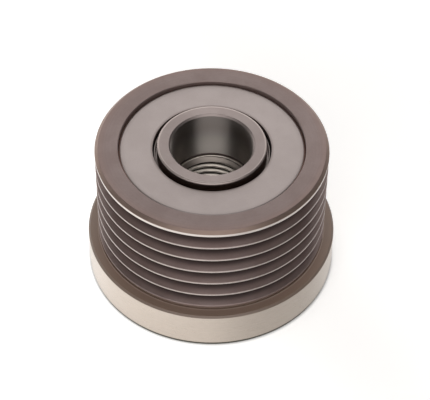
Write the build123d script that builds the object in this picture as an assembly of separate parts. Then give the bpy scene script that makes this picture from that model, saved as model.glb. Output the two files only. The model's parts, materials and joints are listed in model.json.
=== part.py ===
from build123d import *

import math
import os

os.makedirs("parts", exist_ok=True)

# Overrunning (one-way) alternator pulley for a six-rib belt, stood on its front face.
#
# +Z is the shaft axis and points to the alternator side. The origin is the centre of the flange's front face,
# which is the face the pulley stands on. All sizes are in millimetres.
#
# The rim is turned from one piece of steel: six V grooves at 3.56 mm pitch, a wider flange at the front end, a recess
# in the front face for a dust cap, and a seat at each end for a pressed steel seal case.
# The hub is the inner ring. It has a 17 mm pilot and an M16 x 1.5 thread for the alternator shaft, and a 33-tooth
# socket at the front for the holding tool. The thread is kept here as a plain hole at its minor diameter.
# Between them is the clutch unit: a drawn cup pressed into the rim, a row of needle rollers in a cage at each end, and
# twelve sprung clutch rollers in the middle, each on its own ramp in the cup.

# ---------------------------------------------------------------- driving dimensions
# rim
WIDTH = 32.2            # front face to rear face
R_LAND = 24.05          # over the ribs
PITCH = 3.56            # rib pitch of the belt
N_GROOVES = 6
GROOVE_1_Z = 29.30      # middle of the groove nearest the alternator
GROOVE_HALF_ANGLE = 20.0
CREST_WIDTH = 0.40      # between two grooves, before its corners are rounded
R_CREST_CORNER = 0.17
R_GROOVE_ROOT = 0.50
TOP_CHAMFER_R, TOP_CHAMFER_Z = 0.70, 0.60
R_FLANGE = 26.25
FLANGE_Z = 8.80         # the flange's shoulder
FLANGE_TOP_CHAMFER = 0.42
FLANGE_FOOT_R, FLANGE_FOOT_Z = 0.16, 0.76
R_NECK = 23.65          # fine relief between the last rib and the flange
NECK_Z = 9.30
R_SEAL_SEAT = 19.25
FRONT_SEAT_DEPTH = 2.80
REAR_SEAT_DEPTH = 3.00
R_CAP_SEAT = 21.50      # recess for a dust cap
CAP_SEAT_DEPTH = 3.60
R_CAP_GROOVE = 22.00
R_CUP_SEAT = 17.50

# hub
HUB_REAR_Z = 32.66      # stands 0.46 above the rim
HUB_FRONT_Z = 3.90
R_HUB_NECK = 11.30
R_RACE_IN = 14.00
RACE_Z0, RACE_Z1 = 7.80, 27.80
R_PILOT = 8.50          # 17 mm shaft
PILOT_DEPTH = 11.13
R_RELIEF = 8.75         # undercut between the pilot and the thread
RELIEF_LENGTH = 0.38
R_LEAD = 8.15           # wide end of the thread's lead-in
R_THREAD = 7.19         # M16 x 1.5 minor radius
THREAD_END_Z = 10.40
R_SOCKET_RELIEF = 8.95
SOCKET_DEPTH = 5.50
SOCKET_TEETH = 33
R_SOCKET_TIP, R_SOCKET_ROOT = 8.25, 8.75
HUB_EDGE = 0.40

# clutch unit
R_CUP_OUT = R_CUP_SEAT
R_RACE_OUT = 16.50
CUP_Z0, CUP_Z1 = 8.00, 27.60
CUP_LIP = 0.80
R_CUP_LIP = 14.35
CLUTCH_Z0, CLUTCH_Z1 = 13.80, 21.80
R_CLUTCH_BORE = 16.45
N_CLUTCH = 12
RAMP_ANGLE = 7.0
RAMP_WIDE_ANGLE = 7.5
R_ROLLER = 1.24
R_PITCH = 15.25         # bearing rollers
R_PITCH_CLUTCH = 15.245
RAMP_GAP = 0.008
CLUTCH_ROLLER_LENGTH = 6.00
BEARING_ROLLER_LENGTH = 4.00
N_BEARING = 16
R_CAGE_IN, R_CAGE_OUT = 14.20, 16.30
BEARING_CAGE_LENGTH = 4.90
POCKET_GAP = 0.05
SPRING_T = 0.15

# seals and thrust rings
SHEET = 0.80
SEAL_FACE_Z = 31.56      # just below the rim's face
SEAL_SKIRT_Z = 29.30
SEAL_CORNER = 0.85
R_SEAL_HOLE = 12.18
R_SLEEVE = 11.97
R_SLEEVE_IN = 11.68      # the sleeve stands clear of the hub at its open end
SLEEVE_Z = 30.60
SLEEVE_GROOVE = 1.20
R_THRUST = 15.90
THRUST_T = 0.80
MIRROR_Z = (RACE_Z0 + RACE_Z1) / 2      # front seal and ring mirror the rear ones


def save(shape, name):
    export_step(shape, f"parts/{name}.step")


def turned(points):
    """A solid of revolution about Z from (r, z) points. An entry of three numbers rounds that corner to radius n."""
    clean = [(p[0], p[1]) for p in points]
    radii = [p[2] if len(p) > 2 else 0.0 for p in points]
    n = len(clean)
    edges, last = [], None
    starts, ends, arcs = [None] * n, [None] * n, [None] * n
    for i, (p, r) in enumerate(zip(clean, radii)):
        a, b = clean[i - 1], clean[(i + 1) % n]
        if r == 0:
            starts[i] = ends[i] = p
            continue
        ua = ((a[0] - p[0]), (a[1] - p[1]))
        ub = ((b[0] - p[0]), (b[1] - p[1]))
        la, lb = math.hypot(*ua), math.hypot(*ub)
        ua, ub = (ua[0] / la, ua[1] / la), (ub[0] / lb, ub[1] / lb)
        half = math.acos(max(-1, min(1, ua[0] * ub[0] + ua[1] * ub[1]))) / 2
        t = r / math.tan(half)
        starts[i] = (p[0] + ua[0] * t, p[1] + ua[1] * t)
        ends[i] = (p[0] + ub[0] * t, p[1] + ub[1] * t)
        bis = (ua[0] + ub[0], ua[1] + ub[1])
        lbis = math.hypot(*bis)
        d = r / math.sin(half) - r
        arcs[i] = (p[0] + bis[0] / lbis * d, p[1] + bis[1] / lbis * d)
    for i in range(n):
        if arcs[i]:
            edges.append(ThreePointArc((starts[i][0], 0, starts[i][1]), (arcs[i][0], 0, arcs[i][1]), (ends[i][0], 0, ends[i][1])))
        j = (i + 1) % n
        if math.dist(ends[i], starts[j]) > 1e-6:
            edges.append(Line((ends[i][0], 0, ends[i][1]), (starts[j][0], 0, starts[j][1])))
    face = Face(Wire(edges))
    return revolve(face, Axis.Z, 360)


def polar(x, y, degrees):
    a = math.radians(degrees)
    return (x * math.cos(a) - y * math.sin(a), x * math.sin(a) + y * math.cos(a))


def flipped(points):
    """The same section for the front end, mirrored about the middle of the race."""
    return [(p[0], 2 * MIRROR_Z - p[1], *p[2:]) for p in reversed(points)]


# ---------------------------------------------------------------- rim
tan20 = math.tan(math.radians(GROOVE_HALF_ANGLE))
half_top = (PITCH - CREST_WIDTH) / 2
sharp_depth = half_top / tan20
outside = [(R_SEAL_SEAT, WIDTH), (R_LAND - TOP_CHAMFER_R, WIDTH, 0.12), (R_LAND, WIDTH - TOP_CHAMFER_Z, 0.12)]
for i in range(N_GROOVES):
    zc = GROOVE_1_Z - i * PITCH
    outside.append((R_LAND, zc + half_top, R_CREST_CORNER))
    outside.append((R_LAND - sharp_depth, zc, R_GROOVE_ROOT))
    outside.append((R_LAND, zc - half_top, R_CREST_CORNER))
outside += [
    (R_LAND, NECK_Z + 0.25, 0.06),
    (R_NECK, NECK_Z),
    (R_NECK, FLANGE_Z - 0.12),
    (R_LAND, FLANGE_Z),
    (R_FLANGE - FLANGE_TOP_CHAMFER, FLANGE_Z),
    (R_FLANGE, FLANGE_Z - FLANGE_TOP_CHAMFER),
    (R_FLANGE, FLANGE_FOOT_Z),
    (R_FLANGE - FLANGE_FOOT_R, 0),
    (R_CAP_SEAT + 0.3, 0),
    (R_CAP_SEAT, 0.3),
    (R_CAP_SEAT, 1.6),
    (R_CAP_GROOVE, 1.8),
    (R_CAP_GROOVE, 2.5),
    (R_CAP_SEAT, 2.7),
    (R_CAP_SEAT, CAP_SEAT_DEPTH),
    (R_SEAL_SEAT, CAP_SEAT_DEPTH),
    (R_SEAL_SEAT, CAP_SEAT_DEPTH + FRONT_SEAT_DEPTH),
    (R_CUP_SEAT, CAP_SEAT_DEPTH + FRONT_SEAT_DEPTH),
    (R_CUP_SEAT, WIDTH - REAR_SEAT_DEPTH),
    (R_SEAL_SEAT, WIDTH - REAR_SEAT_DEPTH),
]
save(turned(outside), "pulley_rim")

# ---------------------------------------------------------------- hub
pilot_end = HUB_REAR_Z - PILOT_DEPTH
relief_end = pilot_end - RELIEF_LENGTH
hub = turned([
    (R_PILOT + 0.38, HUB_REAR_Z),
    (R_HUB_NECK, HUB_REAR_Z, HUB_EDGE),
    (R_HUB_NECK, RACE_Z1),
    (R_RACE_IN - 0.2, RACE_Z1),
    (R_RACE_IN, RACE_Z1 - 0.2),
    (R_RACE_IN, RACE_Z0 + 0.2),
    (R_RACE_IN - 0.2, RACE_Z0),
    (R_HUB_NECK, RACE_Z0),
    (R_HUB_NECK, HUB_FRONT_Z, HUB_EDGE),
    (R_SOCKET_ROOT + 0.25, HUB_FRONT_Z),
    (R_SOCKET_TIP, HUB_FRONT_Z + 0.75),
    (R_SOCKET_TIP, HUB_FRONT_Z + SOCKET_DEPTH),
    (R_SOCKET_RELIEF, HUB_FRONT_Z + SOCKET_DEPTH),
    (R_SOCKET_RELIEF, THREAD_END_Z - 0.2),
    (R_THREAD + 0.9, THREAD_END_Z - 0.2),
    (R_THREAD, THREAD_END_Z + 0.7),
    (R_THREAD, relief_end - (R_LEAD - R_THREAD)),
    (R_LEAD, relief_end),
    (R_RELIEF, relief_end),
    (R_RELIEF, pilot_end),
    (R_PILOT, pilot_end),
    (R_PILOT, HUB_REAR_Z - 0.38),
])
tooth_space = []
for i in range(SOCKET_TEETH):
    a = 360 * i / SOCKET_TEETH
    half_in, half_out = 0.46, 0.16
    pts = [polar(R_SOCKET_TIP - 0.25, -half_in, a), polar(R_SOCKET_ROOT, -half_out, a),
           polar(R_SOCKET_ROOT, half_out, a), polar(R_SOCKET_TIP - 0.25, half_in, a)]
    tooth_space.append(Pos(0, 0, HUB_FRONT_Z - 0.1) * extrude(make_face(Polyline(*pts, close=True)), SOCKET_DEPTH + 0.4))
hub = hub - tooth_space
save(hub, "hub")

# ---------------------------------------------------------------- drawn cup with ramps
cup = turned([
    (R_CUP_LIP, CUP_Z0),
    (R_CUP_OUT, CUP_Z0, 0.7),
    (R_CUP_OUT, CUP_Z1, 0.7),
    (R_CUP_LIP, CUP_Z1),
    (R_CUP_LIP, CUP_Z1 - CUP_LIP),
    (R_RACE_OUT, CUP_Z1 - CUP_LIP),
    (R_RACE_OUT, CLUTCH_Z1),
    (R_CLUTCH_BORE, CLUTCH_Z1),
    (R_CLUTCH_BORE, CLUTCH_Z0),
    (R_RACE_OUT, CLUTCH_Z0),
    (R_RACE_OUT, CUP_Z0 + CUP_LIP),
    (R_CUP_LIP, CUP_Z0 + CUP_LIP),
])
# Each ramp is a flat that narrows towards -angle. Its normal is turned by -RAMP_ANGLE from the radius at the roller.
reach = R_PITCH_CLUTCH * math.cos(math.radians(RAMP_ANGLE)) + R_ROLLER + RAMP_GAP


def ramp_r(phi):
    return reach / math.cos(math.radians(phi + RAMP_ANGLE))


narrow = 1.0 - RAMP_ANGLE
pockets = []
for i in range(N_CLUTCH):
    a = 360 * i / N_CLUTCH
    r0, r1 = ramp_r(narrow), ramp_r(RAMP_WIDE_ANGLE)
    pts = [polar(r0, 0, a + narrow), polar(r1, 0, a + RAMP_WIDE_ANGLE), polar(15.6, 0, a + RAMP_WIDE_ANGLE), polar(15.6, 0, a + narrow)]
    pockets.append(Pos(0, 0, CLUTCH_Z0) * extrude(make_face(Polyline(*pts, close=True)), CLUTCH_Z1 - CLUTCH_Z0))
cup = cup - pockets
save(cup, "clutch_cup")

# ---------------------------------------------------------------- clutch cage, springs and rollers
cage_z0, cage_z1 = CLUTCH_Z0 + 0.05, CLUTCH_Z1 - 0.05
ring_h = 0.80
cage = turned([(R_CAGE_IN, cage_z0), (R_CAGE_OUT, cage_z0), (R_CAGE_OUT, cage_z1), (R_CAGE_IN, cage_z1)])
mid_z = (CLUTCH_Z0 + CLUTCH_Z1) / 2
window_z = CLUTCH_ROLLER_LENGTH + 0.12
windows, tabs = [], []
for i in range(N_CLUTCH):
    a = 360 * i / N_CLUTCH
    windows.append(Rot(0, 0, a) * Pos(15.25, (3.10 - 1.34) / 2, mid_z) * Box(4, 3.10 + 1.34, window_z))
    for z0 in (cage_z0, cage_z1 - ring_h):
        pts = [polar(16.0, 0, a + 5.5), polar(16.0, 0, a + 7.3), polar(16.74, 0, a + 7.3), polar(16.74, 0, a + 5.5)]
        tabs.append(Pos(0, 0, z0) * extrude(make_face(Polyline(*pts, close=True)), ring_h))
cage = (cage - windows) + tabs
save(cage, "clutch_cage")

# A W of spring strip between the cage bar and its roller.
strip_half_z = 2.2
springs = []
for i in range(N_CLUTCH):
    a = 360 * i / N_CLUTCH
    path = [(14.75, 3.00), (15.75, 2.62), (14.75, 2.20), (15.75, 1.78), (15.20, 1.37)]
    left, right = [], []
    for k, (x, y) in enumerate(path):
        if k == 0:
            d = (path[1][0] - x, path[1][1] - y)
        elif k == len(path) - 1:
            d = (x - path[k - 1][0], y - path[k - 1][1])
        else:
            d = None
        if d:
            length = math.hypot(*d)
            nx, ny = -d[1] / length, d[0] / length
            s = SPRING_T / 2
            left.append((x + nx * s, y + ny * s))
            right.append((x - nx * s, y - ny * s))
        else:
            d0 = (x - path[k - 1][0], y - path[k - 1][1])
            d1 = (path[k + 1][0] - x, path[k + 1][1] - y)
            l0, l1 = math.hypot(*d0), math.hypot(*d1)
            n0, n1 = (-d0[1] / l0, d0[0] / l0), (-d1[1] / l1, d1[0] / l1)
            bx, by = n0[0] + n1[0], n0[1] + n1[1]
            lb = math.hypot(bx, by)
            bx, by = bx / lb, by / lb
            s = min(SPRING_T / 2 / max(0.3, bx * n0[0] + by * n0[1]), 0.2)
            left.append((x + bx * s, y + by * s))
            right.append((x - bx * s, y - by * s))
    outline = [polar(x, y, a) for x, y in left + right[::-1]]
    springs.append(Pos(0, 0, mid_z - strip_half_z) * extrude(make_face(Polyline(*outline, close=True)), 2 * strip_half_z))
save(Compound(springs), "clutch_springs")


def roller(radius_out, z0, length, degrees):
    edge = 0.15
    body = turned([(0, 0), (R_ROLLER - edge, 0), (R_ROLLER, edge), (R_ROLLER, length - edge), (R_ROLLER - edge, length), (0, length)])
    x, y = polar(radius_out, 0, degrees)
    return Pos(x, y, z0) * body


for i in range(N_CLUTCH):
    save(roller(R_PITCH_CLUTCH, mid_z - CLUTCH_ROLLER_LENGTH / 2, CLUTCH_ROLLER_LENGTH, 360 * i / N_CLUTCH), f"clutch_roller_{i + 1:02d}")

# ---------------------------------------------------------------- needle bearings, one at each end
slack = (CUP_Z1 - CUP_LIP - CLUTCH_Z1 - BEARING_CAGE_LENGTH) / 2
for end, z0 in (("rear", CLUTCH_Z1 + slack), ("front", CUP_Z0 + CUP_LIP + slack)):
    z1 = z0 + BEARING_CAGE_LENGTH
    cage = turned([(R_CAGE_IN, z0), (R_CAGE_OUT, z0), (R_CAGE_OUT, z1), (R_CAGE_IN, z1)])
    zm = (z0 + z1) / 2
    width = 2 * (R_ROLLER + POCKET_GAP)
    windows = [
        Rot(0, 0, 360 * i / N_BEARING) * Pos(R_PITCH, 0, zm) * Box(4, width, BEARING_ROLLER_LENGTH + 2 * POCKET_GAP)
        for i in range(N_BEARING)
    ]
    save(cage - windows, f"{end}_bearing_cage")
    for i in range(N_BEARING):
        save(roller(R_PITCH, zm - BEARING_ROLLER_LENGTH / 2, BEARING_ROLLER_LENGTH, 360 * i / N_BEARING), f"{end}_bearing_roller_{i + 1:02d}")

# ---------------------------------------------------------------- thrust rings, seal cases and seal lips
ring = [
    (R_HUB_NECK, RACE_Z1),
    (R_THRUST, RACE_Z1),
    (R_THRUST, RACE_Z1 + THRUST_T),
    (R_SLEEVE, RACE_Z1 + THRUST_T, 0.15),
    (R_SLEEVE, SLEEVE_Z, 0.10),
    (R_SLEEVE_IN, SLEEVE_Z, 0.08),
    (R_SLEEVE_IN, SLEEVE_Z - SLEEVE_GROOVE),
    (R_HUB_NECK, SLEEVE_Z - SLEEVE_GROOVE),
]
case = [
    (R_SEAL_HOLE, SEAL_FACE_Z, 0.1),
    (R_SEAL_HOLE, SEAL_FACE_Z - SHEET),
    (R_SEAL_SEAT - SHEET, SEAL_FACE_Z - SHEET, 0.15),
    (R_SEAL_SEAT - SHEET, SEAL_SKIRT_Z),
    (R_SEAL_SEAT, SEAL_SKIRT_Z),
    (R_SEAL_SEAT, SEAL_FACE_Z, SEAL_CORNER),
]
lip = [
    (12.55, SEAL_FACE_Z - SHEET),
    (12.28, SEAL_FACE_Z - 1.45, 0.15),
    (R_SLEEVE + 0.03, SEAL_FACE_Z - 2.28),
    (R_SLEEVE + 0.12, SEAL_FACE_Z - 2.40),
    (12.50, SEAL_FACE_Z - 2.40, 0.12),
    (13.20, SEAL_FACE_Z - 1.25, 0.3),
    (15.20, SEAL_FACE_Z - 1.25),
    (15.20, SEAL_FACE_Z - SHEET),
]
for end, section in (("rear", lambda s: s), ("front", flipped)):
    save(turned(section(ring)), f"{end}_thrust_ring")
    save(turned(section(case)), f"{end}_seal_case")
    save(turned(section(lip)), f"{end}_seal_lip")
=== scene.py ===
import json
import math

import bpy
from mathutils import Matrix, Vector


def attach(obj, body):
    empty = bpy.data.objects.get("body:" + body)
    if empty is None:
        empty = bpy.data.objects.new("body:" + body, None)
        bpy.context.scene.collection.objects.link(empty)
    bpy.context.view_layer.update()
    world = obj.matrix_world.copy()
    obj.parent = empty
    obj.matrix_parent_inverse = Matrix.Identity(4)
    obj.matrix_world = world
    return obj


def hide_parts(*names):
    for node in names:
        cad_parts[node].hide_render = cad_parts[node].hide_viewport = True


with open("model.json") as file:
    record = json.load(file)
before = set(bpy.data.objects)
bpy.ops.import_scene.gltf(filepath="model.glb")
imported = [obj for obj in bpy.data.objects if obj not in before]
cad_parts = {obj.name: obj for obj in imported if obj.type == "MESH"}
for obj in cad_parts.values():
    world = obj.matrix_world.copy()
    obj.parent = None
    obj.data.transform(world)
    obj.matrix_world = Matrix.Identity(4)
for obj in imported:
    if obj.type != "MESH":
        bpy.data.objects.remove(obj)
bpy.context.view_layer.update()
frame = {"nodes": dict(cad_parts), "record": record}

MM = 0.001
TAU = 2 * math.pi

# ---------------------------------------------------------------- sizes, in millimetres, as in the solids
WIDTH = 32.2
R_LAND, PITCH, N_GROOVES, GROOVE_1_Z = 24.05, 3.56, 6, 29.30
CREST_WIDTH, R_CREST_CORNER, R_GROOVE_ROOT = 0.40, 0.17, 0.50
TOP_R, TOP_Z = 0.70, 0.60
R_FLANGE, FLANGE_Z, FLANGE_TOP, FOOT_R, FOOT_Z = 26.25, 8.80, 0.42, 0.16, 0.76
R_NECK, NECK_Z = 23.65, 9.30
R_SEAL_SEAT, FRONT_SEAT_DEPTH, REAR_SEAT_DEPTH = 19.25, 2.80, 3.00
R_CAP_SEAT, CAP_SEAT_DEPTH, R_CAP_GROOVE = 21.50, 3.60, 22.00
R_CUP_SEAT = 17.50
HUB_REAR_Z, HUB_FRONT_Z, R_HUB_NECK, R_RACE = 32.66, 3.90, 11.30, 14.00
RACE_Z0, RACE_Z1 = 7.80, 27.80
R_PILOT, PILOT_DEPTH, R_RELIEF, RELIEF_LENGTH, R_LEAD = 8.50, 11.13, 8.75, 0.38, 8.15
R_MINOR, R_MAJOR, THREAD_PITCH, THREAD_END_Z = 7.19, 7.98, 1.50, 10.40
R_SOCKET_RELIEF, SOCKET_DEPTH, SOCKET_TEETH = 8.95, 5.50, 33
R_TIP, R_ROOT = 8.25, 8.75
HUB_EDGE = 0.40
SHEET, SEAL_FACE_Z, SEAL_SKIRT_Z, SEAL_CORNER, R_SEAL_HOLE = 0.80, 31.56, 29.30, 0.85, 12.18
R_SLEEVE, R_SLEEVE_IN, SLEEVE_Z, SLEEVE_GROOVE, R_THRUST, THRUST_T = 11.97, 11.68, 30.60, 1.20, 15.90, 0.80
MIRROR_Z = (RACE_Z0 + RACE_Z1) / 2
R_ROLLER, R_PITCH_BEARING, R_PITCH_CLUTCH = 1.24, 15.25, 15.245
N_BEARING, N_CLUTCH = 16, 12
COAT_METAL = 0.75


# ---------------------------------------------------------------- turned meshes
def rounded(points, step=18.0):
    """Corner list to a closed section. A corner of three numbers (r, z, n) is rounded to radius n."""
    out = []
    count = len(points)
    for i, p in enumerate(points):
        a, b = points[i - 1], points[(i + 1) % count]
        n = p[2] if len(p) > 2 else 0.0
        if n == 0.0:
            out.append((p[0], p[1], False))
            continue
        ua, ub = (a[0] - p[0], a[1] - p[1]), (b[0] - p[0], b[1] - p[1])
        la, lb = math.hypot(*ua), math.hypot(*ub)
        ua, ub = (ua[0] / la, ua[1] / la), (ub[0] / lb, ub[1] / lb)
        full = math.acos(max(-1.0, min(1.0, ua[0] * ub[0] + ua[1] * ub[1])))
        t = min(n / math.tan(full / 2), 0.49 * la, 0.49 * lb)
        n = t * math.tan(full / 2)
        bx, by = ua[0] + ub[0], ua[1] + ub[1]
        lbis = math.hypot(bx, by)
        cx, cy = p[0] + bx / lbis * n / math.sin(full / 2), p[1] + by / lbis * n / math.sin(full / 2)
        s, e = (p[0] + ua[0] * t, p[1] + ua[1] * t), (p[0] + ub[0] * t, p[1] + ub[1] * t)
        a0, a1 = math.atan2(s[1] - cy, s[0] - cx), math.atan2(e[1] - cy, e[0] - cx)
        d = (a1 - a0 + math.pi) % TAU - math.pi
        steps = max(2, int(math.ceil(abs(math.degrees(d)) / step)))
        for k in range(steps + 1):
            g = a0 + d * k / steps
            out.append((cx + n * math.cos(g), cy + n * math.sin(g), True))
    return out


def held(section, gap=0.03, longest=None):
    """Adds a point close to each end of every long straight, so that smooth shading stays on the round next to it."""
    out = []
    count = len(section)
    for i, p in enumerate(section):
        q = section[(i + 1) % count]
        out.append(p)
        length = math.hypot(q[0] - p[0], q[1] - p[1])
        if length > 4 * gap:
            marks = []
            if p[2]:
                marks.append(gap / length)
            if longest and length > longest:
                parts = int(math.ceil(length / longest))
                marks += [k / parts for k in range(1, parts)]
            if q[2]:
                marks.append(1 - gap / length)
            for m in sorted(marks):
                out.append((p[0] + (q[0] - p[0]) * m, p[1] + (q[1] - p[1]) * m, False))
    return out


def link(obj):
    bpy.context.scene.collection.objects.link(obj)
    return obj


def lathe(name, section, columns, shape=None, angles=None, sharp=32.0):
    """A closed ring turned about Z from a closed section. shape(r, z, angle) moves a point along its radius."""
    section = [(p[0], p[1]) for p in section]
    area = sum(a[0] * b[1] - b[0] * a[1] for a, b in zip(section, section[1:] + section[:1]))
    if area < 0:
        section = section[::-1]
    if angles is None:
        angles = [TAU * j / columns for j in range(columns)]
    n, m = len(section), len(angles)
    verts = []
    for r, z in section:
        for a in angles:
            rr = shape(r, z, a) if shape else r
            verts.append((rr * math.cos(a) * MM, rr * math.sin(a) * MM, z * MM))
    faces = []
    for i in range(n):
        k = (i + 1) % n
        for j in range(m):
            q = (j + 1) % m
            faces.append((i * m + j, i * m + q, k * m + q, k * m + j))
    mesh = bpy.data.meshes.new(name)
    mesh.from_pydata(verts, [], faces)
    mesh.validate()
    mesh.polygons.foreach_set("use_smooth", [True] * len(mesh.polygons))
    mesh.set_sharp_from_angle(angle=math.radians(sharp))
    mesh.update()
    return link(bpy.data.objects.new(name, mesh))


def bar(name, section, columns, centre):
    """A solid turned about its own upright axis, from an open section that starts and ends on the axis."""
    verts, faces = [], []
    rings = []
    for r, z in section:
        if r < 1e-9:
            rings.append([len(verts)])
            verts.append((0.0, 0.0, z * MM))
        else:
            rings.append(list(range(len(verts), len(verts) + columns)))
            for j in range(columns):
                a = TAU * j / columns
                verts.append((r * math.cos(a) * MM, r * math.sin(a) * MM, z * MM))
    for low, high in zip(rings, rings[1:]):
        for j in range(columns):
            q = (j + 1) % columns
            if len(low) == 1:
                faces.append((low[0], high[q], high[j]))
            elif len(high) == 1:
                faces.append((low[j], low[q], high[0]))
            else:
                faces.append((low[j], low[q], high[q], high[j]))
    verts = [(x + centre[0] * MM, y + centre[1] * MM, z) for x, y, z in verts]
    mesh = bpy.data.meshes.new(name)
    mesh.from_pydata(verts, [], faces)
    mesh.validate()
    mesh.polygons.foreach_set("use_smooth", [True] * len(mesh.polygons))
    mesh.set_sharp_from_angle(angle=math.radians(32))
    mesh.update()
    return link(bpy.data.objects.new(name, mesh))


def flipped(points):
    return [(p[0], 2 * MIRROR_Z - p[1], *p[2:]) for p in reversed(points)]


# ---------------------------------------------------------------- node helpers
class Tree:
    """A material's nodes, with short calls for the few kinds used here."""

    def __init__(self, name):
        self.mat = bpy.data.materials.new(name)
        self.mat.use_nodes = True
        self.nodes, self.links = self.mat.node_tree.nodes, self.mat.node_tree.links
        self.bsdf = self.nodes["Principled BSDF"]
        coords = self.nodes.new("ShaderNodeTexCoord").outputs["Object"]
        scaled = self.nodes.new("ShaderNodeVectorMath")
        scaled.operation = "SCALE"
        scaled.inputs["Scale"].default_value = 1000.0
        self.links.new(coords, scaled.inputs[0])
        self.mm = scaled.outputs[0]
        sep = self.nodes.new("ShaderNodeSeparateXYZ")
        self.links.new(self.mm, sep.inputs[0])
        self.x, self.y, self.z = sep.outputs
        self.r = self.math("SQRT", self.math("ADD", self.math("MULTIPLY", self.x, self.x), self.math("MULTIPLY", self.y, self.y)))
        self.angle = self.math("ARCTAN2", self.y, self.x)

    def put(self, socket, value):
        if hasattr(value, "is_output"):
            self.links.new(value, socket)
        else:
            socket.default_value = value

    def math(self, operation, a, b=None, c=None, clamp=False):
        n = self.nodes.new("ShaderNodeMath")
        n.operation = operation
        n.use_clamp = clamp
        for k, v in enumerate((a, b, c)):
            if v is not None:
                self.put(n.inputs[k], v)
        return n.outputs[0]

    def ramp(self, value, low, high, to_low=0.0, to_high=1.0, smooth=True):
        n = self.nodes.new("ShaderNodeMapRange")
        n.interpolation_type = "SMOOTHSTEP" if smooth else "LINEAR"
        n.clamp = True
        self.put(n.inputs["Value"], value)
        for key, v in (("From Min", low), ("From Max", high), ("To Min", to_low), ("To Max", to_high)):
            n.inputs[key].default_value = v
        return n.outputs[0]

    def noise(self, vector, scale, detail=3.0, rough=0.55):
        n = self.nodes.new("ShaderNodeTexNoise")
        n.noise_dimensions = "3D"
        self.put(n.inputs["Vector"], vector)
        n.inputs["Scale"].default_value = scale
        n.inputs["Detail"].default_value = detail
        n.inputs["Roughness"].default_value = rough
        return n.outputs[0]

    def noise1(self, w, scale, detail=2.0, rough=0.6):
        n = self.nodes.new("ShaderNodeTexNoise")
        n.noise_dimensions = "1D"
        self.put(n.inputs["W"], w)
        n.inputs["Scale"].default_value = scale
        n.inputs["Detail"].default_value = detail
        n.inputs["Roughness"].default_value = rough
        return n.outputs[0]

    def cells(self, vector, scale):
        n = self.nodes.new("ShaderNodeTexVoronoi")
        n.feature = "F1"
        self.put(n.inputs["Vector"], vector)
        n.inputs["Scale"].default_value = scale
        return n.outputs["Distance"]

    def mix(self, factor, a, b, blend="MIX"):
        n = self.nodes.new("ShaderNodeMix")
        n.data_type = "RGBA"
        n.blend_type = blend
        n.clamp_factor = True
        self.put(n.inputs[0], factor)
        for socket, value in ((n.inputs[6], a), (n.inputs[7], b)):
            if hasattr(value, "is_output"):
                self.links.new(value, socket)
            else:
                socket.default_value = (*value, 1.0)
        return n.outputs[2]

    def scaled(self, colour, value):
        """colour times a number that varies over the surface."""
        n = self.nodes.new("ShaderNodeVectorMath")
        n.operation = "SCALE"
        self.put(n.inputs[0], colour)
        self.put(n.inputs["Scale"], value)
        return n.outputs[0]

    def around(self, along=1.0, about=1.0, height=1.0):
        """Coordinates that run round the axis: arc length, radius, height, each with its own stretch."""
        n = self.nodes.new("ShaderNodeCombineXYZ")
        # the arc is given as a point on a circle, so that it has no seam
        ca = self.math("MULTIPLY", self.math("COSINE", self.angle), 20.0 * along)
        sa = self.math("MULTIPLY", self.math("SINE", self.angle), 20.0 * along)
        self.put(n.inputs[0], ca)
        self.put(n.inputs[1], sa)
        rz = self.math("ADD", self.math("MULTIPLY", self.r, about), self.math("MULTIPLY", self.z, height))
        self.put(n.inputs[2], rz)
        return n.outputs[0]

    def bump(self, height, strength, distance, normal=None):
        n = self.nodes.new("ShaderNodeBump")
        n.inputs["Strength"].default_value = strength
        n.inputs["Distance"].default_value = distance * MM
        self.put(n.inputs["Height"], height)
        if normal is not None:
            self.links.new(normal, n.inputs["Normal"])
        return n.outputs[0]

    def finish(self, colour, rough, normal=None, metallic=1.0, anisotropic=0.0, turned=0.25):
        self.put(self.bsdf.inputs["Base Color"], colour)
        self.put(self.bsdf.inputs["Roughness"], rough)
        if metallic is not None:
            self.bsdf.inputs["Metallic"].default_value = metallic
        if anisotropic:
            self.bsdf.inputs["Anisotropic"].default_value = anisotropic
            tangent = self.nodes.new("ShaderNodeTangent")
            tangent.direction_type = "RADIAL"
            tangent.axis = "Z"
            self.bsdf.inputs["Anisotropic Rotation"].default_value = turned
            self.links.new(tangent.outputs[0], self.bsdf.inputs["Tangent"])
        if normal is not None:
            self.links.new(normal, self.bsdf.inputs["Normal"])
        return self.mat


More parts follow.
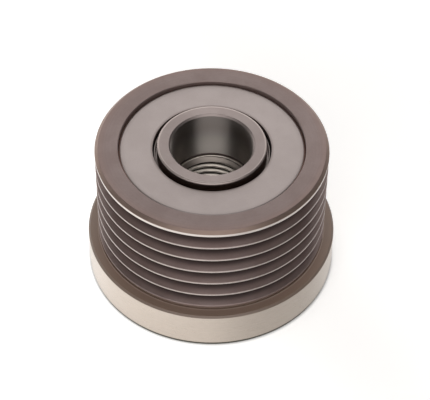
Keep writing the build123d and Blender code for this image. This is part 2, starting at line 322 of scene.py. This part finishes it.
def rim_material():
    t = Tree("rim_turned_steel")
    # brown-grey conversion coat on turned steel: mostly matt
    cloud = t.noise(t.mm, 0.16, 4.0, 0.6)
    fine = t.noise(t.mm, 2.6, 3.0, 0.6)
    bands = t.noise1(t.math("ADD", t.math("MULTIPLY", t.r, 1.0), t.math("MULTIPLY", t.z, 1.37)), 2.2, 3.0, 0.7)
    streak = t.noise(t.around(0.55, 6.0, 6.0), 1.0, 3.0, 0.6)
    coat = t.mix(t.ramp(cloud, 0.32, 0.68), (0.216, 0.164, 0.153), (0.245, 0.192, 0.181))
    coat = t.mix(t.math("MULTIPLY", t.ramp(fine, 0.45, 0.75), 0.22), coat, (0.195, 0.138, 0.120))
    # the face is a little warmer towards its outer edge
    on_face = t.ramp(t.z, WIDTH - 0.5, WIDTH - 0.3)
    warm = t.math("MULTIPLY", t.math("MULTIPLY", on_face, t.ramp(t.r, 21.6, 23.6)), 0.35)
    coat = t.mix(warm, coat, (0.268, 0.176, 0.148))
    # browner on the outer chamfer and down by the flange
    brown = t.math("MULTIPLY", t.ramp(t.z, WIDTH - 0.03, WIDTH - 0.12), t.ramp(t.r, R_LAND - TOP_R - 0.02, R_LAND - TOP_R + 0.08))
    brown = t.math("MULTIPLY", brown, t.ramp(t.z, WIDTH - 0.9, WIDTH - 0.7))
    coat = t.mix(t.math("MULTIPLY", brown, 0.85), coat, (0.252, 0.182, 0.150))
    shelf = t.math("MULTIPLY", t.ramp(t.z, 9.75, 9.35), t.ramp(t.z, 7.0, 8.2, 0.30, 0.90, False))
    coat = t.mix(shelf, coat, (0.242, 0.167, 0.125))
    # painted shade in the gutter by the flange, and a fine painted highlight on its outer lip
    gutter_shade = t.math("MULTIPLY", t.ramp(t.r, 24.02, 23.85), t.math("MULTIPLY", t.ramp(t.z, 9.75, 9.55), t.ramp(t.z, 8.4, 8.6)))
    coat = t.mix(t.math("MULTIPLY", gutter_shade, 0.45), coat, (0.150, 0.105, 0.085))
    lip = t.math("MULTIPLY", t.math("MULTIPLY", t.ramp(t.r, 23.98, 24.06), t.ramp(t.r, 24.34, 24.22)), t.math("MULTIPLY", t.ramp(t.z, 9.0, 8.9), t.ramp(t.z, 8.4, 8.6)))
    coat = t.mix(t.math("MULTIPLY", lip, 0.8), coat, (0.400, 0.300, 0.250))
    # painted light and shade in the vees: the flanks are painted lighter, and painted shade darkens them towards the
    # root
    in_groove = t.math("MULTIPLY", t.ramp(t.z, WIDTH - 1.1, WIDTH - 1.5), t.ramp(t.z, FLANGE_Z - 0.1, FLANGE_Z + 0.3))
    coat = t.scaled(coat, t.ramp(in_groove, 0.0, 1.0, 1.0, 1.19, False))
    low = t.math("MULTIPLY", in_groove, t.ramp(t.r, 23.45, 22.1))
    coat = t.mix(low, coat, (0.110, 0.084, 0.080))
    # belt side: the flats of the ribs are rubbed bright
    flat = t.ramp(t.z, WIDTH - TOP_Z - 0.06, WIDTH - TOP_Z - 0.12)
    crown = t.math("MULTIPLY", t.math("MULTIPLY", t.ramp(t.z, FLANGE_Z + 1.15, FLANGE_Z + 1.35), t.ramp(t.r, 23.985, 24.035)), flat)
    worn = t.math("MULTIPLY", crown, t.ramp(streak, 0.25, 0.5, 0.60, 1.0))
    first = t.ramp(t.z, WIDTH - 1.6, WIDTH - 1.3)
    # the flange is turned bright round its rim, down to the edge it stands on
    band = t.math("MULTIPLY", t.ramp(t.r, R_FLANGE - 0.06, R_FLANGE - 0.015), t.ramp(t.z, FOOT_Z - 0.10, FOOT_Z + 0.02))
    # painted shade: the chamfer it stands on is dark
    foot_shade = t.math("MULTIPLY", t.ramp(t.r, R_FLANGE - FOOT_R - 0.10, R_FLANGE - FOOT_R), t.ramp(t.z, FOOT_Z + 0.02, FOOT_Z - 0.10))
    edge = t.math("MULTIPLY", t.ramp(t.r, R_FLANGE - FLANGE_TOP - 0.02, R_FLANGE - FLANGE_TOP + 0.06), t.ramp(t.z, 6.0, 7.0))
    bright = t.mix(t.ramp(fine, 0.3, 0.7), (0.330, 0.292, 0.274), (0.415, 0.372, 0.350))
    bright = t.mix(first, bright, (0.520, 0.480, 0.455))
    silver = t.mix(t.ramp(streak, 0.3, 0.7), (0.440, 0.386, 0.336), (0.478, 0.420, 0.372))
    # painted shade: the bright rim is darker on one side
    shaded_side = t.ramp(t.math("COSINE", t.math("ADD", t.angle, 0.96)), 0.80, 1.0, 1.0, 0.82)
    silver = t.scaled(silver, shaded_side)
    colour = t.mix(t.math("MULTIPLY", edge, 0.8), coat, (0.160, 0.118, 0.094))
    colour = t.mix(worn, colour, bright)
    colour = t.mix(foot_shade, colour, (0.078, 0.073, 0.053))
    colour = t.mix(band, colour, silver)
    colour = t.scaled(colour, t.ramp(bands, 0.3, 0.7, 0.975, 1.025, False))
    bare = t.math("MAXIMUM", worn, band)
    matt = t.math("MULTIPLY", t.math("SUBTRACT", 1.0, bare), t.ramp(shelf, 0.3, 0.9, 0.0, 0.90))
    t.put(t.bsdf.inputs["Metallic"], t.math("MULTIPLY", t.ramp(bare, 0.0, 1.0, COAT_METAL, 1.0, False), t.math("SUBTRACT", 1.0, matt)))
    rough = t.math("ADD", t.ramp(streak, 0.3, 0.7, 0.40, 0.48, False), t.math("MULTIPLY", bare, -0.14))
    feed = t.noise1(t.math("ADD", t.r, t.math("MULTIPLY", t.z, 0.83)), 11.0, 2.0, 0.7)
    grain = t.noise(t.mm, 9.0, 2.0, 0.5)
    normal = t.bump(feed, 0.30, 0.005)
    normal = t.bump(grain, 0.10, 0.004, normal)
    return t.finish(colour, rough, normal, metallic=None, anisotropic=0.35)


pilot_end = HUB_REAR_Z - PILOT_DEPTH
relief_end = pilot_end - RELIEF_LENGTH
THREAD_HEAD = relief_end - (R_LEAD - R_MINOR)      # where the lead cone meets the minor radius


def hub_material(name="hub_ground_steel", bore=False):
    t = Tree(name)
    cloud = t.noise(t.mm, 0.22, 4.0, 0.6)
    streak = t.noise(t.around(0.6, 7.0, 7.0), 1.0, 3.0, 0.6)
    fine = t.noise(t.mm, 3.2, 3.0, 0.6)
    colour = t.mix(t.ramp(cloud, 0.3, 0.7), (0.284, 0.238, 0.226), (0.312, 0.266, 0.253))
    colour = t.mix(t.math("MULTIPLY", t.ramp(fine, 0.5, 0.8), 0.2), colour, (0.270, 0.215, 0.195))
    # the cut thread and its lead are bare and lighter
    cut = t.math("MULTIPLY", t.ramp(t.r, 8.45, 8.30), t.ramp(t.z, relief_end + 0.12, relief_end + 0.02))
    colour = t.mix(cut, colour, (0.740, 0.670, 0.600))
    cone = t.math("MULTIPLY", t.ramp(t.z, THREAD_HEAD - 0.30, THREAD_HEAD - 0.05), t.ramp(t.r, 8.12, 7.95))
    colour = t.mix(t.math("MULTIPLY", t.math("MULTIPLY", cut, cone), 0.85), colour, (0.235, 0.200, 0.180))
    # painted shade darkens the roots of the thread
    root_shade = t.math("MULTIPLY", t.ramp(t.r, 7.48, 7.70), t.ramp(t.z, THREAD_HEAD - 0.10, THREAD_HEAD - 0.30))
    colour = t.mix(t.math("MULTIPLY", t.math("MULTIPLY", cut, root_shade), 0.9), colour, (0.030, 0.024, 0.020))
    # the neck under the seal is tinted a redder brown
    neck = t.math("MULTIPLY", t.ramp(t.r, R_HUB_NECK - 0.05, R_HUB_NECK - 0.01), t.ramp(t.z, HUB_REAR_Z - 0.55, HUB_REAR_Z - 0.95))
    colour = t.mix(t.math("MULTIPLY", neck, 0.8), colour, (0.330, 0.205, 0.155))
    # painted highlight on the outer corner
    corner_highlight = t.math("MULTIPLY", t.ramp(t.r, R_HUB_NECK - 0.52, R_HUB_NECK - 0.40), t.ramp(t.z, HUB_REAR_Z - 0.34, HUB_REAR_Z - 0.20))
    colour = t.mix(t.math("MULTIPLY", corner_highlight, 0.6), colour, (0.520, 0.450, 0.420))
    if bore:
        # painted light: the bored wall is lighter towards its bottom
        lower_bore_light = t.ramp(t.z, HUB_REAR_Z - 3.0, pilot_end + 1.0)
        colour = t.mix(0.85, colour, t.mix(lower_bore_light, (0.300, 0.270, 0.250), (0.640, 0.595, 0.550)))
    race = t.ramp(t.r, R_RACE - 0.3, R_RACE - 0.1)
    colour = t.mix(race, colour, (0.620, 0.600, 0.585))
    colour = t.scaled(colour, t.ramp(streak, 0.3, 0.7, 0.96, 1.04, False))
    rough = t.ramp(streak, 0.3, 0.7, 0.50, 0.58, False) if bore else t.ramp(streak, 0.3, 0.7, 0.36, 0.44, False)
    feed = t.noise1(t.math("ADD", t.r, t.math("MULTIPLY", t.z, 0.9)), 14.0, 2.0, 0.7)
    normal = t.bump(feed, 0.20, 0.002)
    normal = t.bump(t.noise(t.mm, 7.0, 2.0, 0.5), 0.08, 0.003, normal)
    return t.finish(colour, rough, normal, anisotropic=1.0 if bore else 0.6, turned=0.25 if bore else 0.0)


def case_material():
    t = Tree("seal_case_sheet")
    cloud = t.noise(t.mm, 0.20, 4.0, 0.55)
    fine = t.noise(t.mm, 4.5, 3.0, 0.6)
    spots = t.cells(t.mm, 1.1)
    colour = t.mix(t.ramp(cloud, 0.3, 0.7), (0.365, 0.318, 0.305), (0.392, 0.343, 0.330))
    colour = t.mix(t.math("MULTIPLY", t.ramp(fine, 0.5, 0.8), 0.16), colour, (0.330, 0.280, 0.262))
    colour = t.mix(t.math("MULTIPLY", t.ramp(spots, 0.09, 0.04), 0.18), colour, (0.280, 0.225, 0.200))
    # painted shade on the face next to the rim's wall
    rim_wall_shade = t.math("MULTIPLY", t.ramp(t.r, R_SEAL_SEAT - 1.5, R_SEAL_SEAT - 0.5), 0.20)
    colour = t.mix(rim_wall_shade, colour, (0.190, 0.160, 0.150))
    # painted shade round the hole, next to the hub
    ring = t.math("MULTIPLY", t.ramp(t.r, R_SEAL_HOLE + 0.62, R_SEAL_HOLE + 0.18), 0.42)
    colour = t.mix(ring, colour, (0.150, 0.118, 0.108))
    # painted light on the rounded edge, which is lightened to a pale red-brown
    colour = t.mix(t.ramp(t.r, R_SEAL_SEAT - 0.50, R_SEAL_SEAT - 0.12), colour, (0.720, 0.520, 0.450))
    rough = t.ramp(fine, 0.3, 0.7, 0.40, 0.50, False)
    normal = t.bump(t.noise(t.mm, 9.0, 3.0, 0.6), 0.22, 0.006)
    return t.finish(colour, rough, normal)


def ring_material():
    t = Tree("thrust_ring_ground")
    streak = t.noise(t.around(0.6, 8.0, 8.0), 1.0, 3.0, 0.6)
    cloud = t.noise(t.mm, 0.4, 3.0, 0.6)
    colour = t.mix(t.ramp(cloud, 0.3, 0.7), (0.190, 0.165, 0.155), (0.240, 0.212, 0.200))
    colour = t.scaled(colour, t.ramp(streak, 0.3, 0.7, 0.94, 1.06, False))
    normal = t.bump(t.noise1(t.math("ADD", t.r, t.z), 16.0, 2.0, 0.7), 0.25, 0.004)
    return t.finish(colour, t.ramp(streak, 0.3, 0.7, 0.26, 0.36, False), normal, anisotropic=0.3)


def drawn_material():
    t = Tree("drawn_hardened_strip")
    cloud = t.noise(t.mm, 0.35, 4.0, 0.6)
    pull = t.noise(t.around(3.5, 0.6, 0.6), 1.0, 3.0, 0.6)
    colour = t.mix(t.ramp(cloud, 0.3, 0.7), (0.430, 0.410, 0.395), (0.520, 0.500, 0.480))
    colour = t.mix(t.math("MULTIPLY", t.ramp(t.noise(t.mm, 0.9, 3.0, 0.7), 0.55, 0.75), 0.35), colour, (0.300, 0.255, 0.250))
    colour = t.scaled(colour, t.ramp(pull, 0.3, 0.7, 0.95, 1.05, False))
    normal = t.bump(pull, 0.3, 0.004)
    return t.finish(colour, t.ramp(pull, 0.3, 0.7, 0.27, 0.38, False), normal)


def roller_material():
    t = Tree("roller_bearing_steel")
    cloud = t.noise(t.mm, 1.2, 3.0, 0.6)
    lap = t.noise1(t.z, 22.0, 2.0, 0.7)
    colour = t.mix(t.ramp(cloud, 0.3, 0.7), (0.640, 0.635, 0.625), (0.710, 0.705, 0.695))
    normal = t.bump(lap, 0.15, 0.002)
    return t.finish(colour, t.ramp(lap, 0.3, 0.7, 0.12, 0.20, False), normal)


def spring_material():
    t = Tree("spring_strip")
    cloud = t.noise(t.mm, 2.2, 3.0, 0.6)
    line = t.noise1(t.z, 18.0, 2.0, 0.6)
    colour = t.mix(t.ramp(cloud, 0.3, 0.7), (0.420, 0.395, 0.350), (0.520, 0.500, 0.460))
    normal = t.bump(line, 0.25, 0.003)
    return t.finish(colour, t.ramp(line, 0.3, 0.7, 0.24, 0.36, False), normal)


def cage_material():
    t = Tree("cage_polyamide")
    cloud = t.noise(t.mm, 0.5, 4.0, 0.6)
    fibres = t.noise(t.around(0.9, 9.0, 2.0), 1.4, 3.0, 0.7)
    colour = t.mix(t.ramp(cloud, 0.3, 0.7), (0.150, 0.118, 0.078), (0.205, 0.165, 0.112))
    colour = t.mix(t.math("MULTIPLY", t.ramp(fibres, 0.55, 0.75), 0.35), colour, (0.300, 0.255, 0.190))
    normal = t.bump(fibres, 0.4, 0.012)
    normal = t.bump(t.noise(t.mm, 12.0, 2.0, 0.5), 0.2, 0.006, normal)
    return t.finish(colour, t.ramp(fibres, 0.3, 0.7, 0.42, 0.56, False), normal, metallic=0.0)


def rubber_material():
    t = Tree("seal_lip_rubber")
    cloud = t.noise(t.mm, 0.7, 3.0, 0.6)
    grain = t.noise(t.mm, 10.0, 3.0, 0.6)
    colour = t.mix(t.ramp(cloud, 0.3, 0.7), (0.020, 0.017, 0.015), (0.034, 0.029, 0.026))
    normal = t.bump(grain, 0.35, 0.012)
    return t.finish(colour, t.ramp(grain, 0.3, 0.7, 0.48, 0.66, False), normal, metallic=0.0)


MATERIAL = {
    "rim_steel": rim_material(), "hub_steel": hub_material(), "drawn_steel": drawn_material(), "cage_polymer": cage_material(),
    "spring_steel": spring_material(), "roller_steel": roller_material(), "ring_steel": ring_material(),
    "seal_case_steel": case_material(), "seal_rubber": rubber_material(),
}
SLOT = {s["node"]: s["material_slot"] for s in frame["record"]["subparts"]}
BODY = {n: b for b, names in frame["record"]["behaviour"]["bodies"].items() for n in names}


def stands_for(obj, node):
    obj.data.materials.clear()
    obj.data.materials.append(MATERIAL[SLOT[node]])
    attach(obj, BODY[node])
    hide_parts(node)


for node, obj in frame["nodes"].items():
    if not obj.material_slots:
        obj.data.materials.append(None)
    for place in obj.material_slots:
        place.link = "OBJECT"
        place.material = MATERIAL[SLOT[node]]

# ---------------------------------------------------------------- rim
tan20 = math.tan(math.radians(20))
half_top = (PITCH - CREST_WIDTH) / 2
deep = half_top / tan20
section = [(R_SEAL_SEAT + 0.14, WIDTH, 0.05), (R_LAND - TOP_R, WIDTH, 0.12), (R_LAND, WIDTH - TOP_Z, 0.12)]
for i in range(N_GROOVES):
    zc = GROOVE_1_Z - i * PITCH
    section += [(R_LAND, zc + half_top, R_CREST_CORNER), (R_LAND - deep, zc, R_GROOVE_ROOT), (R_LAND, zc - half_top, R_CREST_CORNER)]
section += [
    (R_LAND, NECK_Z + 0.25, 0.06), (R_NECK, NECK_Z, 0.05), (R_NECK, FLANGE_Z - 0.12, 0.04), (R_LAND, FLANGE_Z, 0.05),
    (R_FLANGE - FLANGE_TOP, FLANGE_Z, 0.08), (R_FLANGE, FLANGE_Z - FLANGE_TOP, 0.08),
    (R_FLANGE, FOOT_Z, 0.15), (R_FLANGE - FOOT_R, 0, 0.08), (R_CAP_SEAT + 0.3, 0, 0.06), (R_CAP_SEAT, 0.3, 0.06),
    (R_CAP_SEAT, 1.6, 0.05), (R_CAP_GROOVE, 1.8, 0.05), (R_CAP_GROOVE, 2.5, 0.05), (R_CAP_SEAT, 2.7, 0.05),
    (R_CAP_SEAT, CAP_SEAT_DEPTH, 0.12), (R_SEAL_SEAT, CAP_SEAT_DEPTH, 0.06), (R_SEAL_SEAT, CAP_SEAT_DEPTH + FRONT_SEAT_DEPTH, 0.08),
    (R_CUP_SEAT, CAP_SEAT_DEPTH + FRONT_SEAT_DEPTH, 0.06), (R_CUP_SEAT, WIDTH - REAR_SEAT_DEPTH, 0.06),
    (R_SEAL_SEAT, WIDTH - REAR_SEAT_DEPTH, 0.08), (R_SEAL_SEAT, WIDTH - 0.14, 0.05),
]
stands_for(lathe("rim_turned", held(rounded(section)), 228), "pulley_rim")

# ---------------------------------------------------------------- hub, with the socket's teeth and the real thread
THREAD_TOP = relief_end
THREAD_LOW = THREAD_END_Z - 0.2

columns_deg = []
for i in range(SOCKET_TEETH):
    base = 360.0 * i / SOCKET_TEETH
    for d in (-2.5, -1.048, 0.0, 1.048, 2.5, 3.68, 4.86, 6.05, 7.23):
        columns_deg.append(base + d)
columns_rad = sorted(math.radians(d % 360.0) for d in columns_deg)


def tooth_radius(angle):
    d = abs((math.degrees(angle) + 180.0 / SOCKET_TEETH) % (360.0 / SOCKET_TEETH) - 180.0 / SOCKET_TEETH)
    if d <= 1.05:
        return R_ROOT
    if d >= 2.49:
        return R_TIP
    return R_ROOT + (R_TIP - R_ROOT) * (d - 1.05) / 1.44


def thread_radius(z, angle):
    """M16 x 1.5 right-hand internal thread: crest flat a quarter of the pitch, 60 degree flanks, rounded root."""
    u = ((z - 0.34) / THREAD_PITCH - angle / TAU) % 1.0
    d = abs(u - 0.5) * THREAD_PITCH      # 0 in the middle of the root
    flat = 0.10
    r = R_MAJOR - max(0.0, d - flat) / math.tan(math.radians(30))
    return max(R_MINOR, r)


def hub_shape(r, z, angle):
    if HUB_FRONT_Z + 0.2 < z < HUB_FRONT_Z + SOCKET_DEPTH + 0.02 and r < R_ROOT + 0.2:
        return max(r, tooth_radius(angle))
    if THREAD_LOW + 0.001 < z < THREAD_TOP + 0.001 and r < 8.30:
        return max(r, thread_radius(z, angle))
    return r


socket_end = HUB_FRONT_Z + SOCKET_DEPTH
outer = held(rounded([
    (8.88, HUB_REAR_Z, 0.08), (R_HUB_NECK, HUB_REAR_Z, HUB_EDGE), (R_HUB_NECK, RACE_Z1, 0.10), (R_RACE - 0.2, RACE_Z1, 0.05),
    (R_RACE, RACE_Z1 - 0.2, 0.08), (R_RACE, RACE_Z0 + 0.2, 0.08), (R_RACE - 0.2, RACE_Z0, 0.05), (R_HUB_NECK, RACE_Z0, 0.10),
    (R_HUB_NECK, HUB_FRONT_Z, HUB_EDGE), (R_ROOT + 0.25, HUB_FRONT_Z, 0.06),
    (8.20, HUB_FRONT_Z + 0.80), (8.20, socket_end), (R_SOCKET_RELIEF, socket_end, 0.05), (R_SOCKET_RELIEF, THREAD_LOW, 0.10),
    (R_MINOR + 0.9, THREAD_LOW), (R_MINOR, THREAD_END_Z + 0.7), (R_MINOR, relief_end - (R_LEAD - R_MINOR)), (R_LEAD, relief_end, 0.14), (R_RELIEF, relief_end, 0.06),
    (R_RELIEF, pilot_end, 0.10), (R_PILOT, pilot_end, 0.05), (R_PILOT, HUB_REAR_Z - 0.38, 0.08),
]))
# finer rows through the chamfered ends and the length of the thread, and through the socket's mouth
refined = []
for a, b in zip(outer, outer[1:] + outer[:1]):
    refined.append(a)
    low, high = min(a[1], b[1]), max(a[1], b[1])
    threaded = low >= THREAD_LOW - 0.01 and high <= THREAD_TOP + 0.01 and max(a[0], b[0]) <= R_LEAD + 0.01 and high - low > 0.1
    mouth = low >= HUB_FRONT_Z - 0.01 and high <= HUB_FRONT_Z + 0.85 and max(a[0], b[0]) < R_ROOT + 0.3 and high - low > 0.1
    if threaded or mouth:
        parts = int(math.ceil((high - low) / (0.072 if threaded else 0.05)))
        for k in range(1, parts):
            refined.append((a[0] + (b[0] - a[0]) * k / parts, a[1] + (b[1] - a[1]) * k / parts, False))
hub = lathe("hub_turned", refined, None, hub_shape, columns_rad)
stands_for(hub, "hub")
hub.data.materials.append(hub_material("hub_bored_wall", True))
for face in hub.data.polygons:
    c = face.center
    if c.z > pilot_end * MM and math.hypot(c.x, c.y) < (R_PILOT + 0.03) * MM:
        face.material_index = 1

# ---------------------------------------------------------------- seals and thrust rings
ring = [(R_HUB_NECK, RACE_Z1), (R_THRUST, RACE_Z1, 0.08), (R_THRUST, RACE_Z1 + THRUST_T, 0.08), (R_SLEEVE, RACE_Z1 + THRUST_T, 0.15),
        (R_SLEEVE, SLEEVE_Z, 0.10), (R_SLEEVE_IN, SLEEVE_Z, 0.08), (R_SLEEVE_IN, SLEEVE_Z - SLEEVE_GROOVE, 0.06),
        (R_HUB_NECK, SLEEVE_Z - SLEEVE_GROOVE)]
case = [(R_SEAL_HOLE, SEAL_FACE_Z, 0.10), (R_SEAL_HOLE, SEAL_FACE_Z - SHEET, 0.08), (R_SEAL_SEAT - SHEET, SEAL_FACE_Z - SHEET, 0.15),
        (R_SEAL_SEAT - SHEET, SEAL_SKIRT_Z, 0.06), (R_SEAL_SEAT, SEAL_SKIRT_Z, 0.15), (R_SEAL_SEAT, SEAL_FACE_Z, SEAL_CORNER - 0.08)]
lip = [(12.55, SEAL_FACE_Z - SHEET), (12.28, SEAL_FACE_Z - 1.45, 0.15), (R_SLEEVE + 0.03, SEAL_FACE_Z - 2.28, 0.03), (R_SLEEVE + 0.12, SEAL_FACE_Z - 2.40, 0.04),
       (12.50, SEAL_FACE_Z - 2.40, 0.12), (13.20, SEAL_FACE_Z - 1.25, 0.30), (15.20, SEAL_FACE_Z - 1.25, 0.10), (15.20, SEAL_FACE_Z - SHEET)]
for end, side in (("rear", lambda s: s), ("front", flipped)):
    stands_for(lathe(f"{end}_thrust_ring_turned", held(rounded(side(ring))), 240), f"{end}_thrust_ring")
    stands_for(lathe(f"{end}_seal_case_pressed", held(rounded(side(case), 9.0)), 300), f"{end}_seal_case")
    stands_for(lathe(f"{end}_seal_lip_moulded", held(rounded(side(lip), 12.0)), 240), f"{end}_seal_lip")


# ---------------------------------------------------------------- rollers
def roller(node, radius, z0, length, angle):
    edge = 0.15
    s = [(0.0, z0), (R_ROLLER - edge - 0.03, z0), (R_ROLLER - edge, z0), (R_ROLLER - 0.045, z0 + 0.045), (R_ROLLER, z0 + edge), (R_ROLLER, z0 + edge + 0.03),
         (R_ROLLER, z0 + length - edge - 0.03), (R_ROLLER, z0 + length - edge), (R_ROLLER - 0.045, z0 + length - 0.045), (R_ROLLER - edge, z0 + length),
         (R_ROLLER - edge - 0.03, z0 + length), (0.0, z0 + length)]
    stands_for(bar(node + "_ground", s, 48, (radius * math.cos(angle), radius * math.sin(angle))), node)


for i in range(N_CLUTCH):
    roller(f"clutch_roller_{i + 1:02d}", R_PITCH_CLUTCH, 14.80, 6.0, TAU * i / N_CLUTCH)
for end, zm in (("rear", 24.30), ("front", 11.30)):
    for i in range(N_BEARING):
        roller(f"{end}_bearing_roller_{i + 1:02d}", R_PITCH_BEARING, zm - 2.0, 4.0, TAU * i / N_BEARING)

# ---------------------------------------------------------------- floor, light and camera
def plane(name, size, z):
    mesh = bpy.data.meshes.new(name)
    s = size / 2
    mesh.from_pydata([(-s, -s, z), (s, -s, z), (s, s, z), (-s, s, z)], [], [(0, 1, 2, 3)])
    return link(bpy.data.objects.new(name, mesh))


floor = plane("floor", 6.0, 0.0)
paper = Tree("floor_paper")
paper_colour = paper.mix(paper.ramp(paper.noise(paper.mm, 0.03, 3.0, 0.5), 0.3, 0.7), (0.90, 0.90, 0.895), (0.925, 0.925, 0.92))
# painted contact shadow: the paper's colour darkens next to the flange
paper_colour = paper.scaled(paper_colour, paper.ramp(paper.r, R_FLANGE - 0.15, R_FLANGE + 0.50, 0.60, 1.0))
paper.finish(paper_colour, 0.9, metallic=0.0)
paper.bsdf.inputs["Emission Color"].default_value = (1.0, 0.985, 0.965, 1.0)
side = paper.math("ADD", paper.math("MULTIPLY", paper.x, -1.0), paper.math("MULTIPLY", paper.y, -0.35))
beside = paper.math("MULTIPLY", paper.ramp(side, -28.0, 38.0, 0.0, 0.58), paper.ramp(paper.y, -12.0, 4.0, 1.0, 0.60))
# painted contact shadow: the paper is darker, and glows less, in the thin line where the flange meets it
open_air = paper.ramp(paper.r, R_FLANGE - 0.15, R_FLANGE + 0.50, 0.40, 1.0)
paper.put(paper.bsdf.inputs["Emission Strength"], paper.math("MULTIPLY", paper.math("ADD", beside, 0.40), open_air))
floor.data.materials.append(paper.mat)

world = bpy.data.worlds.new("studio")
bpy.context.scene.world = world
world.use_nodes = True
wn, wl = world.node_tree.nodes, world.node_tree.links
background = wn["Background"]
background.inputs["Color"].default_value = (1.0, 0.985, 0.975, 1.0)


def wmath(operation, a, b=None, clamp=False):
    n = wn.new("ShaderNodeMath")
    n.operation = operation
    n.use_clamp = clamp
    for k, v in enumerate((a, b)):
        if v is None:
            continue
        if hasattr(v, "is_output"):
            wl.new(v, n.inputs[k])
        else:
            n.inputs[k].default_value = v
    return n.outputs[0]


def wramp(value, low, high, to_low, to_high):
    n = wn.new("ShaderNodeMapRange")
    n.interpolation_type = "SMOOTHSTEP"
    wl.new(value, n.inputs["Value"])
    for key, v in (("From Min", low), ("From Max", high), ("To Min", to_low), ("To Max", to_high)):
        n.inputs[key].default_value = v
    return n.outputs[0]


direction = wn.new("ShaderNodeSeparateXYZ")
wl.new(wn.new("ShaderNodeTexCoord").outputs["Generated"], direction.inputs[0])
wx, wy, wz = direction.outputs
# a tent: bright wall behind that fades upwards, bright panel over the camera, dark curtains at mid height on both sides
behind = wramp(wz, 0.50, 0.92, 1.80, 0.58)
front = wramp(wz, 0.15, 0.40, 0.92, 1.56)
share = wramp(wy, -0.20, 0.25, 0.0, 1.0)
level = wmath("ADD", wmath("MULTIPLY", behind, share), wmath("MULTIPLY", front, wmath("SUBTRACT", 1.0, share)))
flat = wmath("SQRT", wmath("ADD", wmath("MULTIPLY", wx, wx), wmath("MULTIPLY", wy, wy)))
bearing = wmath("DIVIDE", wmath("ABSOLUTE", wx), wmath("MAXIMUM", flat, 0.02))
aside = wmath("MULTIPLY", wramp(bearing, 0.56, 0.80, 0.0, 1.0), wramp(wz, 0.10, 0.25, 0.0, 1.0))
aside = wmath("MULTIPLY", aside, wramp(flat, 0.10, 0.30, 0.0, 1.0))
level = wmath("MULTIPLY", level, wmath("SUBTRACT", 1.0, wmath("MULTIPLY", aside, 0.96)))
low = wramp(wz, 0.30, 0.10, 0.0, 1.0)
left = wmath("MULTIPLY", wramp(wx, -0.35, -0.9, 0.0, 0.7), low)
right_side = wmath("MULTIPLY", wramp(wx, 0.30, 0.85, 0.0, 0.8), low)
level = wmath("MULTIPLY", level, wmath("ADD", 1.0, wmath("SUBTRACT", left, right_side)))
wl.new(level, background.inputs["Strength"])


F_PX, ELEV, ROLL, OX, OY, DIST = 1685.845, 0.8181, -0.0137, 0.7596, -10.7047, 345.0
se, ce = math.sin(ELEV), math.cos(ELEV)
camera = bpy.data.cameras.new("camera")
camera.sensor_fit = "HORIZONTAL"
camera.sensor_width = 36.0
camera.lens = F_PX * 36.0 / 430.0
camera.clip_start, camera.clip_end = 0.01, 50.0
cam = link(bpy.data.objects.new("camera", camera))
right, up, ahead = Vector((1, 0, 0)), Vector((0, se, ce)), Vector((0, ce, -se))
right2 = right * math.cos(ROLL) - up * math.sin(ROLL)
up2 = right * math.sin(ROLL) + up * math.cos(ROLL)
turn = Matrix((right2, up2, -ahead)).transposed().to_4x4()
cam.matrix_world = Matrix.Translation(Vector((OX, OY * se - DIST * ce, OY * ce + DIST * se + 31.6)) * MM) @ turn
bpy.context.scene.camera = cam
bpy.context.scene.view_settings.view_transform = "Standard"
bpy.context.scene.view_settings.look = "None"
